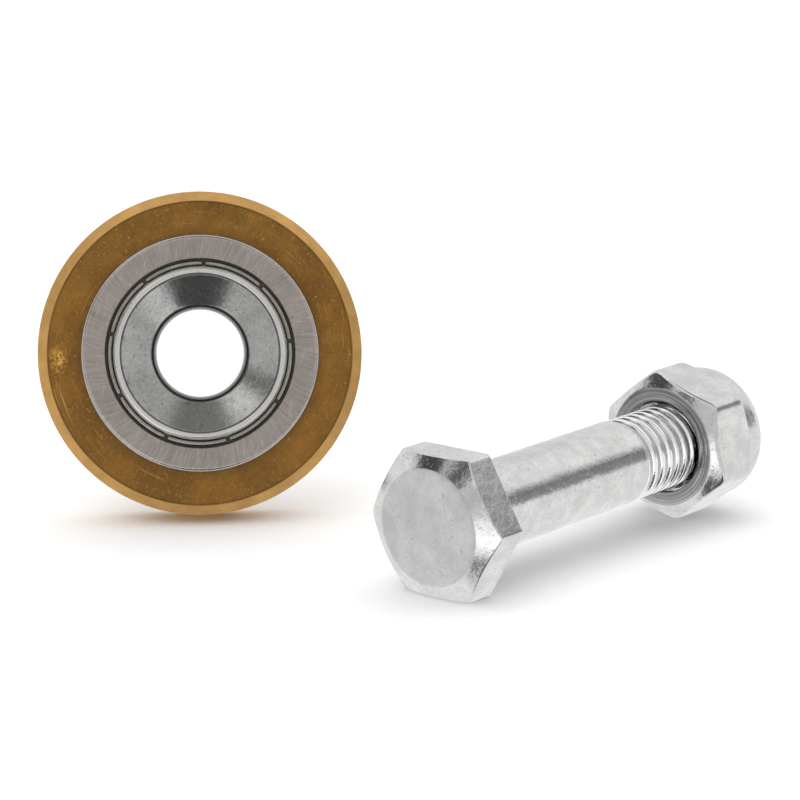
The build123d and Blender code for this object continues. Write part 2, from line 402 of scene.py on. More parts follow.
def turned_tree():
    """A closed section, given as vertices at (radius, 0, height), turned round the Z axis: a
    grid with a row for each point and a column for each step."""
    tree, (section, steps, material) = new_geometry_tree(
        "Turned section", Geometry=("Section",), Int=("Steps",), Material=("Material",))
    count = node(tree, "GeometryNodeAttributeDomainSize", (section,), component="MESH")
    rows = node(tree, "ShaderNodeMath", (count, 1.0), operation="ADD")
    columns = node(tree, "ShaderNodeMath", (steps, 1.0), operation="ADD")
    lattice, around, along, position = new_lattice(tree, columns, rows)
    run = node(tree, "ShaderNodeMath", (along, count), operation="MULTIPLY")
    row = node(tree, "ShaderNodeMath", (run,), operation="ROUND")
    held = node(tree, "ShaderNodeMath", (row, count), operation="MODULO")
    point = node(tree, "GeometryNodeSampleIndex", {
        "Geometry": section, "Value": position, "Index": held}, data_type="FLOAT_VECTOR")
    parts = node(tree, "ShaderNodeSeparateXYZ", (point,)).outputs
    end_wrapped(tree, lattice, parts[0], around, parts[2], material)
    return tree


def turned(section, name, place, body, slot, *nodes):
    """Round piece from (radius, height) points of its closed section."""
    tree = bpy.data.node_groups.get("Turned section") or turned_tree()
    values = {"Steps": ROUND_STEPS, "Material": material_for(slot)}
    points = [(radius, 0, height) for radius, height in section]
    return settle(grown(tree, values, name, place, points), body, slot, *nodes)


def thread_tree():
    """Right-hand V thread: a grid whose columns go round and whose rows follow the helix, so
    that a crest lies along a row. Past each end the rows close in to the end radius."""
    tree, given = new_geometry_tree(
        "Thread", Float=("Low", "High", "Pitch", "Crest", "Root", "End radius", "Tip chamfer"),
        Int=("Rows", "Columns"), Material=("Material",))
    low, high, pitch, crest, root, end, chamfer, rows, columns, material = given
    lattice, around, along, _ = new_lattice(tree, columns, rows)

    # Height: a row climbs one pitch in a turn, and is held between the two ends.
    last = node(tree, "ShaderNodeMath", (rows, 1.0), operation="SUBTRACT")
    row = node(tree, "ShaderNodeMath", (along, last), operation="MULTIPLY")
    turns = node(tree, "ShaderNodeMath", (row, ROWS_PER_PITCH), operation="DIVIDE")
    run = node(tree, "ShaderNodeMath", (turns, pitch), operation="MULTIPLY")
    raised = node(tree, "ShaderNodeMath", (around, pitch, run), operation="MULTIPLY_ADD")
    start = node(tree, "ShaderNodeMath", (pitch, -THREAD_LEAD, low), operation="MULTIPLY_ADD")
    free = node(tree, "ShaderNodeMath", (raised, start), operation="ADD")
    above = node(tree, "ShaderNodeMath", (free, low), operation="MAXIMUM")
    height = node(tree, "ShaderNodeMath", (above, high), operation="MINIMUM")

    # Radius: crest to root and back in each pitch, and less than the chamfer at the high end.
    half, crest_end, root_start = (
        node(tree, "ShaderNodeMath", (pitch, part), operation="MULTIPLY")
        for part in (0.5, CREST_HALF, ROOT_FROM))
    flank = node(tree, "ShaderNodeMath", (run, half), operation="PINGPONG")
    profile = node(tree, "ShaderNodeMapRange", (flank, crest_end, root_start, crest, root),
                   interpolation_type="SMOOTHSTEP")
    tip = node(tree, "ShaderNodeMath", (crest, chamfer), operation="SUBTRACT")
    left = node(tree, "ShaderNodeMath", (high, height), operation="SUBTRACT")
    most = node(tree, "ShaderNodeMath", (tip, left), operation="ADD")
    cut = node(tree, "ShaderNodeMath", (profile, most), operation="MINIMUM")

    # Past an end, the radius goes to the end radius within a pitch.
    past = node(tree, "ShaderNodeMath", (free, height), operation="SUBTRACT")
    over = node(tree, "ShaderNodeMath", (past,), operation="ABSOLUTE")
    pitches = node(tree, "ShaderNodeMath", (over, pitch), operation="DIVIDE")
    share = node(tree, "ShaderNodeMath", (pitches, 1.0), operation="MINIMUM")
    rest = node(tree, "ShaderNodeMath", (end, cut), operation="SUBTRACT")
    radius = node(tree, "ShaderNodeMath", (rest, share, cut), operation="MULTIPLY_ADD")
    end_wrapped(tree, lattice, radius, around, height, material)
    return tree


def threaded(low, high, pitch, crest, root, end, chamfer, name, body):
    """A zinc-plated thread on the bolt's axis, between two heights."""
    turns = ceil((high - low) / pitch) + 4
    values = {"Low": low, "High": high, "Pitch": pitch, "Crest": crest, "Root": root,
              "End radius": end, "Tip chamfer": chamfer, "Rows": turns * ROWS_PER_PITCH + 1,
              "Columns": THREAD_COLUMNS, "Material": material_for("zinc_fastener")}
    tree = bpy.data.node_groups.get("Thread") or thread_tree()
    return settle(grown(tree, values, name, BOLT_FRAME), body, "zinc_fastener")


def crimp_tree():
    """Rolled edge in equal stretches, each thinning to its ends, repeated round the axis."""
    tree, given = new_geometry_tree(
        "Crimped edge", Float=("Ring", "Bead", "Gap", "Start", "Height"), Int=("Tabs",),
        Material=("Material",))
    ring, bead, gap, start, height, tabs, material = given
    share = node(tree, "ShaderNodeMath", (2 * pi, tabs), operation="DIVIDE")
    sweep = node(tree, "ShaderNodeMath", (share, gap), operation="SUBTRACT")
    first = node(tree, "ShaderNodeMath", (gap, 0.5, start), operation="MULTIPLY_ADD")
    arc = node(tree, "GeometryNodeCurveArc", {
        "Resolution": 40, "Radius": ring, "Start Angle": first, "Sweep Angle": sweep})
    along = node(tree, "GeometryNodeSplineParameter").outputs["Factor"]
    middle = node(tree, "ShaderNodeMath", (along, 0.5), operation="PINGPONG")
    swell = node(tree, "ShaderNodeMapRange", (middle, 0.0, 0.05, 0.85, 1.0),
                 interpolation_type="SMOOTHSTEP")
    roll = node(tree, "GeometryNodeCurvePrimitiveCircle", {"Resolution": 20, "Radius": bead})
    flat = node(tree, "GeometryNodeTransform", {"Geometry": roll, "Scale": (1.0, 0.6, 1.0)})
    tab = node(tree, "GeometryNodeCurveToMesh", {
        "Curve": arc, "Profile Curve": flat, "Scale": swell, "Fill Caps": True})
    spots = node(tree, "GeometryNodeMeshLine", {"Count": tabs, "Offset": (0, 0, 0)})
    index = node(tree, "GeometryNodeInputIndex")
    turn = node(tree, "ShaderNodeMath", (index, share), operation="MULTIPLY")
    copies = node(tree, "GeometryNodeInstanceOnPoints", {
        "Points": spots, "Instance": tab,
        "Rotation": node(tree, "ShaderNodeCombineXYZ", {"Z": turn})})
    raised = node(tree, "GeometryNodeTransform", {
        "Geometry": copies, "Translation": node(tree, "ShaderNodeCombineXYZ", {"Z": height})})
    end_geometry_tree(tree, raised, material)
    return tree


# Patterns, in millimetres in a piece's own frame. A map range's inputs are its value, the two
# ends that it is mapped from and the two that it is mapped to, 0 and 1 if they aren't given.

def polar_coordinates(tree, spot):
    """(distance round the axis at 10 mm, distance along the section, height), radius, height.
    Height counts for less than radius along a section, so that no chamfer cancels the two."""
    parts = node(tree, "ShaderNodeSeparateXYZ", (spot,)).outputs
    angle = node(tree, "ShaderNodeMath", (parts[1], parts[0]), operation="ARCTAN2")
    flat = node(tree, "ShaderNodeCombineXYZ", (parts[0], parts[1]))
    radius = node(tree, "ShaderNodeVectorMath", (flat,), operation="LENGTH").outputs["Value"]
    run = node(tree, "ShaderNodeMath", (angle, 10.0), operation="MULTIPLY")
    along = node(tree, "ShaderNodeMath", (parts[2], 0.6, radius), operation="MULTIPLY_ADD")
    return node(tree, "ShaderNodeCombineXYZ", (run, along, parts[2])), radius, parts[2]


def streaks(tree, spot, angle, width, reach, low, high):
    """Factor for scratches square to an angle, with their width and reach in millimetres."""
    laid = node(tree, "ShaderNodeMapping", {
        "Vector": spot, "Rotation": (0, 0, angle), "Scale": (width, reach, reach)},
        vector_type="TEXTURE")
    grain = node(tree, "ShaderNodeTexNoise", {"Vector": laid, "Scale": 1.0, "Detail": 3.0})
    return node(tree, "ShaderNodeMapRange", (grain, low, high))


def blotches(tree, spot, size, low, high, seed=0.0, detail=4.0):
    """Factor for cloudy patches of a size in millimetres."""
    moved = node(tree, "ShaderNodeVectorMath", (spot, (seed, seed * 0.7, seed * 1.3)),
                 operation="ADD")
    cloud = node(tree, "ShaderNodeTexNoise", {
        "Vector": moved, "Scale": 1 / size, "Detail": detail, "Roughness": 0.62})
    return node(tree, "ShaderNodeMapRange", (cloud, low, high))


def layered(tree, ground, *layers):
    """Colour of a ground with layers over it. A layer is a factor, how much of it counts, and
    a colour or hex code. A mix node's two colours are sockets 6 and 7, and its result is 2."""
    for factor, share, tint in layers:
        tint = rgba(tint) if isinstance(tint, str) else tint
        held = node(tree, "ShaderNodeMath", (factor, share), operation="MULTIPLY")
        mixed = node(tree, "ShaderNodeMix", {0: held, 6: ground, 7: tint}, data_type="RGBA")
        ground = mixed.outputs[2]
    return ground


def rgba(tone, strength=1.0):
    """A colour made stronger or weaker, from linear channels or a hex code."""
    channels = linear(tone) if isinstance(tone, str) else tone
    return (*(min(1.0, channel * strength) for channel in channels), 1.0)


def new_material(name, place, metallic=1.0):
    """A material, its tree, and object coordinates turned and centred on a local frame, in
    millimetres."""
    material = bpy.data.materials.new(name)
    material.use_nodes = True
    tree = material.node_tree
    tree.nodes["Principled BSDF"].inputs["Metallic"].default_value = metallic
    whole = node(tree, "ShaderNodeTexCoord").outputs["Object"]
    spot = node(tree, "ShaderNodeMapping", {
        "Vector": whole, "Location": place.translation, "Rotation": place.to_euler(),
        "Scale": (MM, MM, MM)}, vector_type="TEXTURE")
    return material, tree, spot


def dress(material, tone, rough, height, depth):
    """Give a material its colour, its roughness, as a factor and what 0 and 1 of it make, and
    its relief, of a depth in millimetres."""
    tree = material.node_tree
    shader = tree.nodes["Principled BSDF"]
    factor, smoothest, roughest = rough
    spread = node(tree, "ShaderNodeMapRange", (factor, 0.0, 1.0, smoothest, roughest))
    bump = node(tree, "ShaderNodeBump", {"Height": height, "Distance": depth * MM})
    for result, socket in ((tone, "Base Color"), (spread.outputs[0], "Roughness"),
                           (bump.outputs[0], "Normal")):
        tree.links.new(result, shader.inputs[socket])
    return material


def aged_brass(colours):
    """Turned brass that has browned in store: the flat face is dull and mottled brown with short
    golden scratches, and the chamfer and tread are freshly cut and paler. Painted shade lies in a
    dark band on the face round the bearing ring and in a thin dark ring just inside the front
    chamfer. The tarnish is a film over the metal, so the surface is only partly a metal's."""
    material, tree, spot = new_material("turned_brass_aged", WHEEL_FRAME, 0.6)
    unrolled, radius, _ = polar_coordinates(tree, spot)
    clouds = blotches(tree, spot, 9.0, 0.38, 0.62)
    patches = blotches(tree, spot, 2.4, 0.40, 0.68, 21.0)
    fine = blotches(tree, spot, 0.4, 0.3, 0.75, 4.0)
    specks = blotches(tree, spot, 0.3, 0.66, 0.70, 15.0, 2.0)
    rub = streaks(tree, spot, -0.5, 0.16, 1.6, 0.45, 0.75)
    scratch = node(tree, "ShaderNodeMath", (
        streaks(tree, spot, 0.35, 0.14, 2.6, 0.69, 0.74),
        streaks(tree, unrolled, pi / 2 + 0.05, 0.16, 5.0, 0.67, 0.72)), operation="MAXIMUM")
    worn_at = node(tree, "ShaderNodeMapping", {
        "Vector": spot, "Location": (-16.7, -0.6, 3.5), "Scale": (1.2, 2.1, 3.0)},
        vector_type="TEXTURE")
    off = node(tree, "ShaderNodeVectorMath", (worn_at,), operation="LENGTH").outputs["Value"]
    near = node(tree, "ShaderNodeMapRange", (off, 0.2, 1.0, 1.0, 0.0))
    worn = node(tree, "ShaderNodeMath", (
        near, blotches(tree, spot, 0.35, 0.46, 0.56, 9.0)), operation="MULTIPLY")
    # Painted shade: a thin dark ring just inside the chamfer, standing in for the shade of a groove
    # at the rim.
    rim_groove_shade = node(tree, "ShaderNodeMath", (radius, 17.9, 0.09), operation="COMPARE")
    # Painted shade: a dark band on the face all round the bearing ring, standing in for the raised
    # ring's shadow.
    ring_shade = node(tree, "ShaderNodeMapRange", (radius, 14.0, 15.3, 1.0, 0.0))
    cut = node(tree, "ShaderNodeMapRange", (radius, 18.0, 18.1))
    brass, bright = colours.brass, rgba(colours.brass_fresh)
    fresh = layered(tree, rgba(colours.brass_fresh, 0.8), (patches, 1.0, bright))
    tone = layered(
        tree, rgba(brass, 0.62), (clouds, 1.0, rgba(brass, 1.2)), (patches, 0.65, rgba(brass, 0.5)),
        (fine, 0.5, rgba(brass, 1.45)), (rub, 0.35, rgba(brass, 1.6)), (specks, 0.6, bright),
        (scratch, 0.65, bright), (worn, 0.95, "#E0A84C"), (rim_groove_shade, 0.5, rgba(brass, 0.4)),
        (ring_shade, 0.5, rgba(brass, 0.45)), (cut, 1.0, fresh))
    lines = streaks(tree, unrolled, pi / 2, 0.12, 40.0, 0.3, 0.7)
    relief = node(tree, "ShaderNodeMath", (lines, 0.4, fine), operation="MULTIPLY_ADD")
    return dress(material, tone, (fine, 0.38, 0.52), relief, 0.008)


def ground_steel(colours):
    """Bearing steel ground on its faces: a cool grey satin with fine strokes that cross the ring
    nearly along its radius, and a smoother rounded corner, lightened by a painted highlight."""
    material, tree, spot = new_material("ground_bearing_steel", WHEEL_FRAME)
    unrolled, radius, _ = polar_coordinates(tree, spot)
    fine = streaks(tree, unrolled, 0.14, 0.10, 2.6, 0.35, 0.68)
    strokes = streaks(tree, unrolled, 0.26, 0.13, 1.3, 0.62, 0.72)
    crossing = streaks(tree, spot, -0.30, 0.12, 2.6, 0.60, 0.72)
    cloud = blotches(tree, spot, 2.6, 0.3, 0.7, 2.0)
    # The rounded corner: smoother, and painted lighter as a highlight.
    corner = node(tree, "ShaderNodeMapRange", (radius, 13.5, 13.75))
    tone = layered(
        tree, rgba(colours.ring, 0.7), (fine, 1.0, rgba(colours.ring, 1.05)),
        (cloud, 0.4, rgba(colours.ring, 1.25)), (strokes, 0.65, "#D9D4D0"),
        (crossing, 0.5, "#D0CBC7"), (corner, 0.25, "#D9D4D0"))
    relief = node(tree, "ShaderNodeMath", (fine, strokes), operation="ADD")
    return dress(material, tone, (corner, 0.4, 0.25), relief, 0.008)


def pressed_steel(colours):
    """Thin sheet steel from the press, under a trace of oil: bright on its rolled edge, with
    painted shade, nearly black and slightly green, in the low creases outside it."""
    material, tree, spot = new_material("pressed_sheet_steel", WHEEL_FRAME)
    unrolled, radius, height = polar_coordinates(tree, spot)
    cloud = blotches(tree, spot, 1.2, 0.35, 0.7, 6.0)
    drawn = streaks(tree, unrolled, pi / 2, 0.1, 12.0, 0.35, 0.7)
    # Painted shade: the low creases outside the rolled edge are painted nearly black.
    depth = node(tree, "ShaderNodeMath", (height,), operation="ABSOLUTE")
    low = node(tree, "ShaderNodeMapRange", (depth, 3.32, 3.42, 1.0, 0.0))
    outside = node(tree, "ShaderNodeMapRange", (radius, 10.2, 10.4))
    crease_shade = node(tree, "ShaderNodeMath", (low, outside), operation="MULTIPLY")
    tone = layered(tree, rgba(colours.shield, 0.8), (cloud, 1.0, rgba(colours.shield)),
                   (crease_shade, 0.9, "#33312D"))
    relief = node(tree, "ShaderNodeMath", (drawn, cloud), operation="ADD")
    return dress(material, tone, (cloud, 0.36, 0.22), relief, 0.006)


def bush_zinc(colours):
    """Bright zinc over machined steel: glossy, with cloudy patches, fine turning lines in the
    funnel, rubbed spots and small dark pits. The lip is painted lighter as a highlight, and painted
    shade darkens the fine groove where the lip begins and the throat where the funnel drops into
    the bore."""
    material, tree, spot = new_material("bright_zinc_on_turned_steel", WHEEL_FRAME)
    unrolled, radius, _ = polar_coordinates(tree, spot)
    cloud = blotches(tree, spot, 2.2, 0.34, 0.66, 1.0)
    crystal = blotches(tree, spot, 0.4, 0.35, 0.7, 3.0)
    rubbed = blotches(tree, spot, 1.1, 0.60, 0.70, 17.0)
    pits = blotches(tree, spot, 0.3, 0.66, 0.71, 8.0, 2.0)
    turning = streaks(tree, unrolled, pi / 2, 0.16, 30.0, 0.35, 0.65)
    # Painted highlight: the lip is painted lighter than the rest of the zinc.
    lip = node(tree, "ShaderNodeMapRange", (radius, 9.36, 9.42))
    # Painted shade in the fine groove where the lip begins.
    line = node(tree, "ShaderNodeMath", (radius, 9.31, 0.06), operation="COMPARE")
    # Painted shade: the throat, where the funnel drops into the bore, is painted dark.
    throat = node(tree, "ShaderNodeMapRange", (radius, 5.7, 5.95, 1.0, 0.0))
    tone = layered(
        tree, rgba(colours.zinc, 0.78), (cloud, 1.0, rgba(colours.zinc)), (crystal, 0.3, "#F1F0EE"),
        (rubbed, 0.5, "#7F7D7A"), (pits, 0.9, "#5A5855"), (lip, 0.6, "#E9E8E5"),
        (line, 0.7, "#4A4845"), (throat, 0.68, "#4A4845"))
    relief = node(tree, "ShaderNodeMath", (turning, 0.3, crystal), operation="MULTIPLY_ADD")
    return dress(material, tone, (cloud, 0.24, 0.13), relief, 0.006)


def bolt_zinc(colours):
    """Bright zinc on a cold-formed bolt: nearly white and glossy on the chamfers and flats, duller
    and mottled on the head's face, where tumbled parts rubbed. Painted shade darkens the bottom of
    the thread and the nut's face, which also carries turning rings, and a painted white highlight
    runs along the thread's crests."""
    material, tree, spot = new_material("bright_zinc_plate", BOLT_FRAME)
    unrolled, radius, height = polar_coordinates(tree, spot)
    cloud = blotches(tree, spot, 2.6, 0.38, 0.64, 5.0)
    crystal = blotches(tree, spot, 0.45, 0.35, 0.7, 7.0)
    pits = blotches(tree, spot, 0.36, 0.65, 0.70, 11.0, 2.0)
    mottle = blotches(tree, spot, 0.9, 0.44, 0.68, 19.0)
    drawn = streaks(tree, unrolled, 0.0, 0.14, 5.0, 0.45, 0.72)
    face = node(tree, "ShaderNodeMapRange", (height, -5.06, -5.0, 1.0, 0.0))
    # Painted shade at the bottom of the thread, between its flanks.
    root = node(tree, "ShaderNodeMapRange", (radius, 4.12, 4.4, 1.0, 0.0))
    wall = node(tree, "ShaderNodeMapRange", (radius, 4.0, 4.06))
    past_shank = node(tree, "ShaderNodeMapRange", (height, 28.5, 28.9))
    in_thread = node(tree, "ShaderNodeMath", (wall, past_shank), operation="MULTIPLY")
    root_shade = node(tree, "ShaderNodeMath", (root, in_thread), operation="MULTIPLY")
    # Painted highlight: a white line along the thread's crests.
    top = node(tree, "ShaderNodeMath", (radius, 4.82, 0.17), operation="COMPARE")
    crest = node(tree, "ShaderNodeMath", (top, past_shank), operation="MULTIPLY")
    # The nut's face: real turning rings, and a darker tone that is painted shade.
    outside = node(tree, "ShaderNodeMapRange", (radius, 5.1, 5.2))
    level = node(tree, "ShaderNodeMath", (height, 37.88, 0.12), operation="COMPARE")
    nut_face = node(tree, "ShaderNodeMath", (outside, level), operation="MULTIPLY")
    rings = streaks(tree, unrolled, pi / 2, 0.22, 30.0, 0.42, 0.62)
    ringed = node(tree, "ShaderNodeMath", (nut_face, rings), operation="MULTIPLY")
    zinc = colours.bolt_zinc
    tone = layered(
        tree, rgba(zinc, 0.8), (cloud, 1.0, rgba(zinc)), (crystal, 0.3, rgba(zinc, 0.7)),
        (drawn, 0.3, rgba(zinc, 0.72)), (mottle, 0.3, rgba(zinc, 0.7)), (pits, 0.5, "#93928D"),
        (face, 0.2, "#C8C8C8"), (nut_face, 0.75, "#A9A9A8"), (ringed, 0.75, "#6C6C6B"),
        (root_shade, 0.88, "#3E3D3A"), (crest, 0.8, "#FFFFFF"))
    dull = node(tree, "ShaderNodeMath", (face, 0.34, 0.14), operation="MULTIPLY_ADD")
    rough = node(tree, "ShaderNodeMath", (cloud, -0.04, dull), operation="MULTIPLY_ADD")
    dents = blotches(tree, spot, 1.6, 0.0, 1.0, 31.0, 1.0)
    grain = node(tree, "ShaderNodeMath", (crystal, pits), operation="SUBTRACT")
    relief = node(tree, "ShaderNodeMath", (dents, 4.0, grain), operation="MULTIPLY_ADD")
    return dress(material, tone, (rough, 0.0, 1.0), relief, 0.008)


def ball_steel(colours):
    """Lapped chrome steel: a mirror with the faintest haze and hairline marks."""
    material, tree, spot = new_material("lapped_ball_steel", WHEEL_FRAME)
    haze = blotches(tree, spot, 0.8, 0.35, 0.7, 12.0)
    hair = streaks(tree, spot, 1.2, 0.05, 2.0, 0.64, 0.7)
    tone = layered(tree, rgba("#C4C5C9"), (haze, 1.0, "#D9DADC"))
    marks = node(tree, "ShaderNodeMath", (haze, hair), operation="ADD")
    return dress(material, tone, (marks, 0.05, 0.14), hair, 0.001)


def moulded_nylon(colours):
    """Natural nylon: off-white, soft, a little translucent, with a faint moulded mottle."""
    material, tree, spot = new_material("moulded_natural_nylon", BOLT_FRAME, 0.0)
    mottle = blotches(tree, spot, 0.7, 0.35, 0.7, 13.0)
    tone = layered(tree, rgba(colours.nylon, 0.9), (mottle, 1.0, rgba(colours.nylon)))
    inputs = tree.nodes["Principled BSDF"].inputs
    inputs["IOR"].default_value = 1.53
    inputs["Subsurface Weight"].default_value = 0.25
    inputs["Subsurface Radius"].default_value = (1.0, 0.9, 0.8)
    inputs["Subsurface Scale"].default_value = 0.6 * MM
    return dress(material, tone, (mottle, 0.38, 0.46), mottle, 0.01)


def floor_paper(colours):
    """White seamless paper, matt, with a tooth too fine to see."""
    material, tree, spot = new_material("matt_white_paper", Matrix(), 0.0)
    tooth = node(tree, "ShaderNodeTexNoise", {"Vector": spot, "Scale": 0.9, "Detail": 2.0})
    tone = layered(tree, rgba(colours.floor, 0.99), (tooth, 1.0, rgba(colours.floor)))
    inputs = tree.nodes["Principled BSDF"].inputs
    tree.links.new(tone, inputs["Base Color"])
    inputs["Roughness"].default_value = 0.9
    inputs["Specular IOR Level"].default_value = 0.1
    return material


MATERIALS = {"brass": aged_brass, "ring_steel": ground_steel, "shield_steel": pressed_steel,
             "zinc_bush": bush_zinc, "zinc_fastener": bolt_zinc, "ball_steel": ball_steel,
             "nylon": moulded_nylon, "floor": floor_paper}


def material_for(slot):
    """The slot's material, made the first time it is asked for."""
    held = bpy.data.materials.get(bpy.context.scene.get("finish_" + slot, ""))
    if held is None:
        held = MATERIALS[slot](bpy.context.scene.roller_colours)
        bpy.context.scene["finish_" + slot] = held.name
    return held


# Operators

class ROLLER_OT_wheel(bpy.types.Operator):
    """Turn the brass wheel with its chamfers and bearing seat"""
    bl_idname = "roller.wheel"
    bl_label = "Brass Wheel"

    def execute(self, context):
        size, bearing = context.scene.roller_wheel, context.scene.roller_bearing
        edge, seat = size.edge, bearing.radius
        crisp = 0.03 * MM
        section = softened([
            (seat, size.front, edge), (seat, -bearing.half_width, crisp),
            (size.shoulder, -bearing.half_width, crisp), (size.shoulder, -size.back, edge),
            (size.radius - size.back_chamfer, -size.back, edge),
            (size.radius, size.back_chamfer - size.back, edge),
            (size.radius, size.front - size.front_chamfer, edge),
            (size.radius - size.front_chamfer, size.front, edge)], True)
        piece = turned(section, "turned_brass_wheel", WHEEL_FRAME, "wheel", "brass", "brass_wheel")
        # The wheel and the bolt are lit apart, so the wheel doesn't show in the bolt's polish.
        piece.visible_glossy = False
        return {"FINISHED"}


class ROLLER_OT_bearing(bpy.types.Operator):
    """Build the outer ring and the two shields with their crimped edges"""
    bl_idname = "roller.bearing"
    bl_label = "Bearing Ring and Shields"

    def execute(self, context):
        size = context.scene.roller_bearing
        self.ring(size)
        crimp = crimp_tree()
        for side in SIDES:
            self.shield(size, crimp, side)
        return {"FINISHED"}

    def ring(self, size):
        low, lip, groove = size.shield_height, size.land, 0.35 * MM
        top = size.half_width
        half = [(lip, low), (lip + groove, low), (lip + groove, low + groove),
                (lip, low + 0.5 * MM, HAIR), (lip, top, 0.12 * MM),
                (size.radius, top, size.corner)]
        mirrored = [(p[0], -p[1], *p[2:]) for p in reversed(half)]
        section = softened(mirrored + half, True)
        turned(section, "outer_ring", WHEEL_FRAME, "wheel", "ring_steel", "bearing_outer_ring")

    def shield(self, size, crimp, side):
        low, high = size.shield_height, size.shield_height + 0.3 * MM
        rim_top, foot, crisp = high - 0.06 * MM, size.land + 0.3 * MM, 0.04 * MM
        disc = softened([
            (size.shield_bore, low, crisp), (foot, low, crisp), (foot, rim_top, crisp),
            (size.bead_ring - size.bead, rim_top, 0.1 * MM),
            (size.bead_ring - 2.2 * size.bead, high, 0.1 * MM),
            (size.shield_bore, high, 0.08 * MM)], True)
        turned(disc, side + "_shield_disc", SIDES[side], "wheel", "shield_steel", side + "_shield")
        values = {"Ring": size.bead_ring, "Bead": size.bead, "Gap": size.tab_gap,
                  "Start": size.tab_start, "Height": high + HAIR, "Tabs": size.tabs,
                  "Material": material_for("shield_steel")}
        edge = grown(crimp, values, side + "_crimped_edge", SIDES[side])
        settle(edge, "wheel", "shield_steel")


class ROLLER_OT_hub(bpy.types.Operator):
    """Turn the two cone bushes that line the bearing"""
    bl_idname = "roller.hub"
    bl_label = "Hub Bushes"

    def execute(self, context):
        size, bearing = context.scene.roller_bush, context.scene.roller_bearing
        gap = 0.02 * MM
        back = bearing.half_width + gap
        line, crisp = size.face - 0.34 * MM, 0.04 * MM      # the fine groove inside the lip
        section = softened([
            (size.bore, gap, HAIR), (size.sleeve, gap, HAIR), (size.sleeve, back),
            (size.rim, back, 0.25 * MM), (size.rim, size.face, 0.5 * MM),
            (size.funnel + 0.16 * MM, size.face, 0.3 * MM),
            (size.funnel + 0.12 * MM, line, crisp), (size.funnel, line, crisp),
            (size.funnel - 0.02 * MM, size.face - 0.16 * MM, HAIR),
            (size.throat, size.throat_height, 0.45 * MM),
            (size.bore, size.throat_height - 0.9 * MM, 0.4 * MM)], True)
        for side, place in SIDES.items():
            turned(section, side + "_funnel_bush", place, "hub", "zinc_bush", side + "_cone_bush")
        return {"FINISHED"}


class ROLLER_OT_bolt(bpy.types.Operator):
    """Form the hexagon head and shank, and roll the thread"""
    bl_idname = "roller.bolt"
    bl_label = "Axle Bolt"

    def execute(self, context):
        size = context.scene.roller_bolt
        sunk, under = 0.5 * MM, size.shank_length + 0.3 * MM

        def head_section(reach):
            chamfer = -size.head + (reach - size.head_flat) * CORNER_RISE
            return softened([
                (0, -size.head), (size.head_flat, -size.head, 0.3 * MM),
                (reach, chamfer, 0.14 * MM), (reach, 0, 0.12 * MM), (0, 0)], False)

        head = carried(hexagon_outline(size.flats, 0.3 * MM), head_section, False)
        shank_section = softened([
            (0, -sunk), (size.shank, -sunk, 0.1 * MM), (size.shank, size.shank_length, 0.35 * MM),
            (size.root - 0.1 * MM, under), (0, under)], False)
        shank = carried(circle_outline(), lambda reach: shank_section, False)
        formed([head, shank], "bolt_head_and_shank", "bolt", "hex_bolt")
        threaded(size.shank_length - THREAD_OVERLAP, size.total, size.pitch, size.crest,
                 size.root, 0.0, 0.9 * MM, "bolt_thread", "bolt")
        return {"FINISHED"}


class ROLLER_OT_nut(bpy.types.Operator):
    """Form the nut with its collar and thread, and put in the nylon ring"""
    bl_idname = "roller.nut"
    bl_label = "Locking Nut"

    def execute(self, context):
        size, bolt = context.scene.roller_nut, context.scene.roller_bolt
        low, shoulder, top = size.face, size.face + size.hexagon, size.face + size.height
        wall = bolt.crest + size.play + 0.25 * MM
        nest, nest_top = size.nylon + HAIR, top - 0.7 * MM
        nest_low = nest_top - size.nylon_height - 2 * HAIR
        mouth = size.collar - size.collar_round - 0.2 * MM
        dome = [(size.collar - size.collar_round * (1 - cos(turn)),
                 top - size.collar_round * (1 - sin(turn)))
                for turn in (radians(10 * step) for step in range(9))]

        def section(reach):
            front = low + (reach - size.face_flat) * CORNER_RISE
            behind = shoulder - (reach - size.collar) * CORNER_RISE
            return softened([
                (wall, low + size.sink - wall, HAIR), (size.sink, low, 0.08 * MM),
                (size.face_flat, low, 0.5 * MM), (reach, front, 0.35 * MM),
                (reach, behind, 0.35 * MM), (size.collar, shoulder, 0.2 * MM), *dome,
                (mouth, top, 0.1 * MM), (mouth, nest_top + 2 * HAIR, HAIR),
                (nest, nest_top), (nest, nest_low), (wall, nest_low)], True)

        body = carried(hexagon_outline(bolt.flats, 0.9 * MM, size.turn), section, True)
        formed([body], "locking_nut", "nut", "nut_body")

        # The nut's thread starts whole pitches from the bolt's, so that the two mesh.
        bolt_low = bolt.shank_length - THREAD_OVERLAP
        start = bolt_low + ceil((low + 0.5 * MM - bolt_low) / bolt.pitch) * bolt.pitch
        threaded(start, nest_low - 0.02 * MM, bolt.pitch, bolt.crest + size.play,
                 bolt.root + size.play, wall + HAIR, -2 * MM, "nut_thread", "nut")

        inner = bolt.crest + size.play + 0.02 * MM
        ring_low = nest_low + HAIR
        ring_top = ring_low + size.nylon_height
        ring = softened([
            (inner, ring_low, HAIR), (size.nylon, ring_low, HAIR),
            (size.nylon, ring_top, 0.15 * MM), (inner, ring_top, 0.4 * MM)], True)
        turned(ring, "nylon_locking_ring", BOLT_FRAME, "nut_carrier", "nylon", "nut_nylon_ring")
        return {"FINISHED"}


class ROLLER_OT_running_gear(bpy.types.Operator):
    """Give the balls, cage, rivets and inner ring their finishes"""
    bl_idname = "roller.running_gear"
    bl_label = "Balls, Cage and Inner Ring"

    def execute(self, context):
        finishes = {"ball_": "ball_steel", "cage_": "shield_steel", "bearing_inner": "ring_steel"}
        for name, piece in frame["nodes"].items():
            for start, slot in finishes.items():
                if name.startswith(start):
                    piece.data.materials.clear()
                    piece.data.materials.append(material_for(slot))
        return {"FINISHED"}


